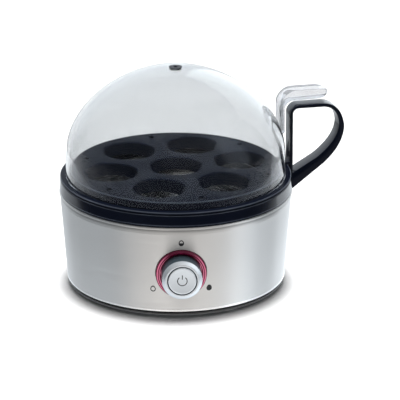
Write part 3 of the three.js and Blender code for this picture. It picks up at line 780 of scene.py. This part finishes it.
def egg_rack():
    """The black plate: rim, spigot, seven tapered seats with rounded mouths, and drain holes."""
    flange_low, under = RING_TOP + 0.3, PLATE - 1.8
    plate = turned("rack_plate", outline([
        (0, under), (72.4, under, 1), (74.6, flange_low), (75.4, 73, 0.4), (77.4, 73, 0.6),
        (77.6, flange_low), (81.9, flange_low, 0.3), (81.9, 80.2, 0.5), (75.9, 80.2, 0.5),
        (74.6, PLATE, 1.3), (0, PLATE),
    ]), RACK_AT, 240)

    def spread(radius, sixths):
        turn = sixths * math.pi / 3
        return (radius * math.cos(turn), radius * math.sin(turn))

    centres = [(0, 0)] + [spread(SEAT_CIRCLE, k) for k in range(6)]
    wall, lip = 1.5, 1.3
    collar = [Vector(point) for point in ((0, SEAT_LOW), (SEAT_LOW_R + wall, SEAT_LOW),
                                          (SEAT_TOP_R + wall, under + 0.5), (0, under + 0.5))]
    combine(plate, [turned("collar", collar, RACK_AT, 96, at) for at in centres], "UNION")
    mouth = [Vector((0, SEAT_LOW - 1)), Vector((SEAT_LOW_R, SEAT_LOW - 1))]
    mouth += [Vector((SEAT_TOP_R + lip * (1 - math.cos(a)), PLATE - lip + lip * math.sin(a)))
              for a in (math.radians(15 * k) for k in range(7))]
    mouth += [Vector((SEAT_TOP_R + lip, PLATE + 1)), Vector((0, PLATE + 1))]
    cups = [turned("cup", mouth, RACK_AT, 96, at) for at in centres]
    drains = [turned("drain", disc(2.2, 70, 90), RACK_AT, 32, spread(66, k + 0.5)) for k in range(6)]
    combine(plate, cups + drains, "DIFFERENCE")
    dress(plate, "rack", "rack", "black_rack", "egg_rack")


def rack_handle():
    """The black loop: a thin post and top, a full outer bend, and a leg that widens to its root."""
    post, post_corner, wall = 83.1, 7, 2.1                  # the upright beside the dome
    bend, reach, widest, bend_wall = 108, 123.6, 106, 4
    leg, leg_high = 108, 78.9
    low, top = (end.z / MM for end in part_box("rack_handle"))
    hole, hole_top, inner_reach = post + wall, top - wall - 0.2, reach - bend_wall
    outer = (
        line((post, low + 4.5), (post, top - post_corner), 24)
        + arc((post + post_corner, top - post_corner), post_corner, 180, 90, 10)
        + line((post + post_corner, top), (bend, top - 0.2), 12)
        + curve((bend, top - 0.2), (reach - 2.1, top - 1.2), (reach, widest), 16)
        + curve((reach, widest), (reach - 0.4, 91.5), (leg, leg_high), 20)
        + line((leg, leg_high), (post + 2.4, low + 0.8), 16)
        + curve((post + 2.4, low + 0.8), (post + 0.2, low), (post, low + 4.5), 8)
    )
    inner = (
        line((hole, 75.0), (hole, hole_top - 4), 24)
        + arc((hole + 4, hole_top - 4), 4, 180, 90, 10)
        + line((hole + 4, hole_top), (bend, hole_top - 0.5), 12)
        + curve((bend, hole_top - 0.5), (inner_reach - 1.2, hole_top - 1.5), (inner_reach, widest + 2), 16)
        + curve((inner_reach, widest + 2), (inner_reach, 96), (leg - 4.8, leg_high + 5.1), 20)
        + line((leg - 4.8, leg_high + 5.1), (hole + 1.3, 74.6), 16)
        + curve((hole + 1.3, 74.6), (hole, 73.6), (hole, 75.0), 8)
    )
    sections = [rounded_section(b, a, 5.75, 0.55) for a, b in zip(outer, inner)]
    loop = lofted("rack_loop_handle", sections, True)
    dress(loop, "handle", "rack", "black_handle", "rack_handle")
    tongue = lofted("rack_handle_tongue", [
        rounded_section((78.9 + x, 80.5), (78.9 + x, 82.3), 5.7, 0.5) for x in (0, 2.2, 4.6)
    ], False)
    dress(tongue, "handle", "rack", "black_handle")


# ------------------------------------------------------------------ lid


def dome_curve(wall, end_r, steps=40):
    """The dome's arch, this far inside its outer face, from the belt up to a radius near the top."""
    reach, rise = DOME_R - wall, DOME_TOP - wall - DOME_BELT
    last = math.acos((end_r / reach) ** (DOME_POWER / 2))
    power = 2 / DOME_POWER
    return [
        Vector((reach * math.cos(t) ** power, DOME_BELT + rise * math.sin(t) ** power))
        for t in (last * k / steps for k in range(steps + 1))
    ]


def lid_dome():
    """The clear dome: a short straight lip, the arch, and a hole at the top for the vent."""
    hole_r, straight = 3.9, 0.8
    lip = [Vector(point) for point in ((DOME_LOW_R - DOME_WALL, DOME_LOW), (DOME_LOW_R, DOME_LOW),
                                       (DOME_LOW_R, DOME_LOW + straight))]
    arch = dome_curve(0, hole_r) + dome_curve(DOME_WALL, hole_r)[::-1]
    dome = turned("lid_clear_dome", lip + arch, RACK_AT, 240)
    dress(dome, "clear", "lid", "clear_lid", "lid_dome")


def lid_hook():
    """The clear hook on the dome's flank: up beside the rack's loop, over it, and out to a rounded tip."""
    near, far, foot, straight = 75.6, 79.0, 76.9, 112       # the upright's two faces
    top, under, reach, tip = 135.8, 128.3, 111.8, 8
    bend, inner_bend = 11.0, 6.0
    outer = (
        line((foot, 104), (near, straight), 6)
        + line((near, straight), (near, top - bend), 14)
        + arc((near + bend, top - bend), bend, 180, 90, 14)
        + line((near + bend, top), (reach - tip, top - 0.4), 14)
        + curve((reach - tip, top - 0.4), (reach - 1.4, top - 0.9), (reach - 0.1, top - 3), 10)
        + [Vector((reach - 0.1, top - 3))]
    )
    inner = (
        line((far, 105.5), (far, straight), 6)
        + line((far, straight), (far, under - inner_bend), 14)
        + arc((far + inner_bend, under - inner_bend), inner_bend, 180, 90, 14)
        + line((far + inner_bend, under), (reach - tip, under + 0.1), 14)
        + curve((reach - tip, under + 0.1), (reach - 1.9, under + 0.2), (reach - 0.2, under + 2), 10)
        + [Vector((reach - 0.2, under + 2))]
    )
    half_breadth, taper = 6.5, 9
    sections = []
    for a, b in zip(outer, inner):
        beyond = max(0.0, (a.x - (reach - taper)) / taper)
        half = half_breadth * math.sqrt(max(0.03, 1 - beyond ** 2.2))
        sections.append(rounded_section(b, a, half, 0.7))
    hook = lofted("lid_hook_handle", sections, False)
    dress(hook, "clear_hook", "lid", "clear_handle", "lid_handle")


def vent():
    """The black vent bush, pressed into the dome's top hole."""
    plug = turned("vent_plug", outline([
        (1.2, DOME_TOP - 0.3), (2.0, DOME_TOP - 0.3), (2.0, DOME_TOP + 0.1), (4.5, DOME_TOP + 0.1),
        (4.7, DOME_TOP + 0.4), (4.7, TOP - 0.5, 0.1), (1.7, TOP - 0.5, 0.3), (1.2, TOP - 0.9, 0.2),
    ]), RACK_AT, 64)
    dress(plug, "vent", "lid", "black_vent", "vent_bush")


# ------------------------------------------------------------------ hidden CAD nodes that keep their shape

KEPT = {
    "silicone": ["pan_seal"],
    "aluminium": ["heater_plate", "heat_shield", "rotary_encoder", "knob_shaft"],
    "element": ["heating_element"],
    "component": ["thermostat", "buzzer", "capacitor"],
    "white": ["thermal_fuse", "terminal_block", "led_1", "led_2", "led_3", "led_4"],
    "screw": ["shield_screw"],
    "board": ["control_board"],
    "blue": ["relay", "lead_neutral", "board_lead_2"],
    "brown": ["lead_live", "board_lead_1"],
}


def dress_kept_nodes():
    for material, names in KEPT.items():
        for name in names:
            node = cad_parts[name]
            node.data.materials.clear()
            node.data.materials.append(MATERIALS[material])


# ------------------------------------------------------------------ stage

SIDE_TINT, FRONT_TINT = colour(0.89, 0.95, 1.0), colour(1.0, 0.985, 0.965)
# The soft tent: its strength at the horizon and high up, the sine of the elevation where it has reached the
# second, and the share of it that is left below the horizon.
TENT_LOW, TENT_HIGH, TENT_SPAN, BELOW_HORIZON = 0.3, 0.56, 0.66, 0.3
# Overhead light: strength in W/m2, then its spread and its lean towards the front, in degrees.
KEY, KEY_SPREAD, KEY_LEAN = 4.1, 15, 5
FILL, FILL_SPREAD = 0.9, 90
# Gloss sees a pale table top near the object, brighter on the right and dimmer at the rear, and a dark
# room beyond its edge.
TABLE_LEFT, TABLE_RIGHT, TABLE_REAR = 1.05, 1.5, 0.64
TABLE_EDGE, TABLE_SOFT = math.radians(-17.6), 0.006
# Soft boxes round the table: bearing from the front to the right, half width, lowest and highest
# elevation, soft edge, all in degrees, and strength.
BOXES = (
    (68, 10, 0, 60, 9, 1.85),
    (22, 40, 18, 60, 14, 0.6),
    (-30, 24, -75, -14, 10, 0.32),
    (106, 15, -70, -14, 8, 0.2),
    (143, 27, -19, 40, 1.5, 1.0),
    (-150, 34, -19, 45, 1.5, 0.22),
    (180, 45, -12, 80, 10, 0.85),
)
BODY_PIECES = ("steel_housing", "black_top_ring", "bottom_cover", "water_dish", "rack_plate")


def overhead(name, strength, spread, lean=0, blockers=()):
    """A light from above that leaves no mirror image of itself; only the blockers, if any, shade it."""
    data = bpy.data.lights.new(name, "SUN")
    data.energy, data.angle = strength, math.radians(spread)
    light = bpy.data.objects.new(name, data)
    light.location = (AXIS.x, AXIS.y, 2)
    light.rotation_euler = (math.radians(-lean), 0, 0)
    light.visible_glossy = light.visible_transmission = False
    bpy.context.scene.collection.objects.link(light)
    if blockers:
        body = bpy.data.collections.new(name + "_blockers")
        for blocker in blockers:
            body.objects.link(bpy.data.objects[blocker])
        light.light_linking.blocker_collection = body


def floor_plane():
    """A plain pale table top, left out of gloss, which sees the table drawn in the studio instead."""
    count, reach = 64, 9.0
    turns = [2 * math.pi * k / count for k in range(count)]
    vertices = [(reach * math.cos(turn), reach * math.sin(turn), 0) for turn in turns]
    mesh = bpy.data.meshes.new("floor")
    mesh.from_pydata(vertices, [], [tuple(range(count))])
    floor = bpy.data.objects.new("floor", mesh)
    bpy.context.scene.collection.objects.link(floor)
    s = Shader("pale_floor")
    tone = s.mix(s.noise(3, 2), colour(0.93, 0.93, 0.93), colour(0.95, 0.95, 0.95))
    s.feed(s.surface.inputs["Base Color"], tone)
    s.set(Roughness=0.7, Specular_IOR_Level=0.2)
    mesh.materials.append(s.material)
    floor.visible_glossy = False


def soft_box(sky, bearing, elevation, centre, half, low, high, soft, strength):
    """The glow of one of the BOXES in a direction."""
    centre, half, low, high, soft = (math.radians(angle) for angle in (centre, half, low, high, soft))
    facing = sky.maths("COSINE", sky.maths("SUBTRACT", bearing, centre))
    across = sky.span(facing, 0, 1, math.cos(half + soft), math.cos(max(half - soft, 0)), True)
    above = sky.span(elevation, 0, 1, low - soft, low + soft, True)
    below = sky.span(elevation, 1, 0, high - soft, high + soft, True)
    inside = sky.maths("MULTIPLY", across, above)
    return sky.maths("MULTIPLY", inside, sky.maths("MULTIPLY", below, strength))


def studio():
    """A dim soft tent with boxes round it for the gloss, and broad overhead light for all the rest."""
    world = bpy.data.worlds.new("studio")
    world.use_nodes = True
    sky = Nodes(world.node_tree)
    x, y, z = sky.split(sky.node("ShaderNodeTexCoord").outputs["Generated"])
    bearing = sky.maths("ARCTAN2", x, sky.maths("MULTIPLY", y, -1.0))
    elevation = sky.maths("ARCSINE", z)
    tent = sky.span(z, TENT_LOW, TENT_HIGH, 0.0, TENT_SPAN, True)
    strength = sky.maths("MULTIPLY", tent, sky.span(z, BELOW_HORIZON, 1.0, -0.02, 0.02))
    table = sky.span(elevation, 1, 0, TABLE_EDGE - TABLE_SOFT, TABLE_EDGE + TABLE_SOFT, True)
    glow = sky.span(sky.maths("SINE", bearing), TABLE_LEFT, TABLE_RIGHT, -1.0, 1.0)
    ahead = sky.maths("COSINE", bearing)
    glow = sky.maths("MULTIPLY", glow, sky.span(ahead, TABLE_REAR, 1.0, -0.9, -0.45, True))
    strength = sky.maths("ADD", strength, sky.maths("MULTIPLY", table, glow))
    for box in BOXES:
        strength = sky.maths("ADD", strength, soft_box(sky, bearing, elevation, *box))
    background = world.node_tree.nodes["Background"]
    warm = sky.span(ahead, 0, 1, 0.1, 0.9, True)
    sky.feed(background.inputs["Color"], sky.mix(warm, SIDE_TINT, FRONT_TINT))
    sky.feed(background.inputs["Strength"], strength)
    world.cycles_visibility.diffuse = False
    bpy.context.scene.world = world
    bpy.context.scene.view_settings.view_transform = "Standard"
    overhead("key_light", KEY, KEY_SPREAD, KEY_LEAN, BODY_PIECES)
    overhead("fill_light", FILL, FILL_SPREAD)


def camera():
    """The viewing angle: low above the table, from a little left of the knob, through a long lens."""
    away, height, lens = 2.4027, 0.9399, 324.04
    side, heading, pitch = math.radians(-2.65), math.radians(-3.06), math.radians(20.116)
    data = bpy.data.cameras.new("camera")
    data.sensor_width, data.lens = 36.0, lens
    data.clip_start, data.clip_end = 0.1, 50.0
    eye = bpy.data.objects.new("camera", data)
    eye.location = (AXIS.x + away * math.sin(side), AXIS.y - away * math.cos(side), height)
    eye.rotation_euler = (math.pi / 2 - pitch, 0, heading)
    bpy.context.scene.collection.objects.link(eye)
    bpy.context.scene.camera = eye


steel_shell()
top_ring()
bottom_cover()
feet_and_screws()
cord_bush()
water_dish()
light_ring()
egg_marks()
knob()
start_button()
egg_rack()
rack_handle()
lid_dome()
lid_hook()
vent()
dress_kept_nodes()
camera()
floor_plane()
studio()
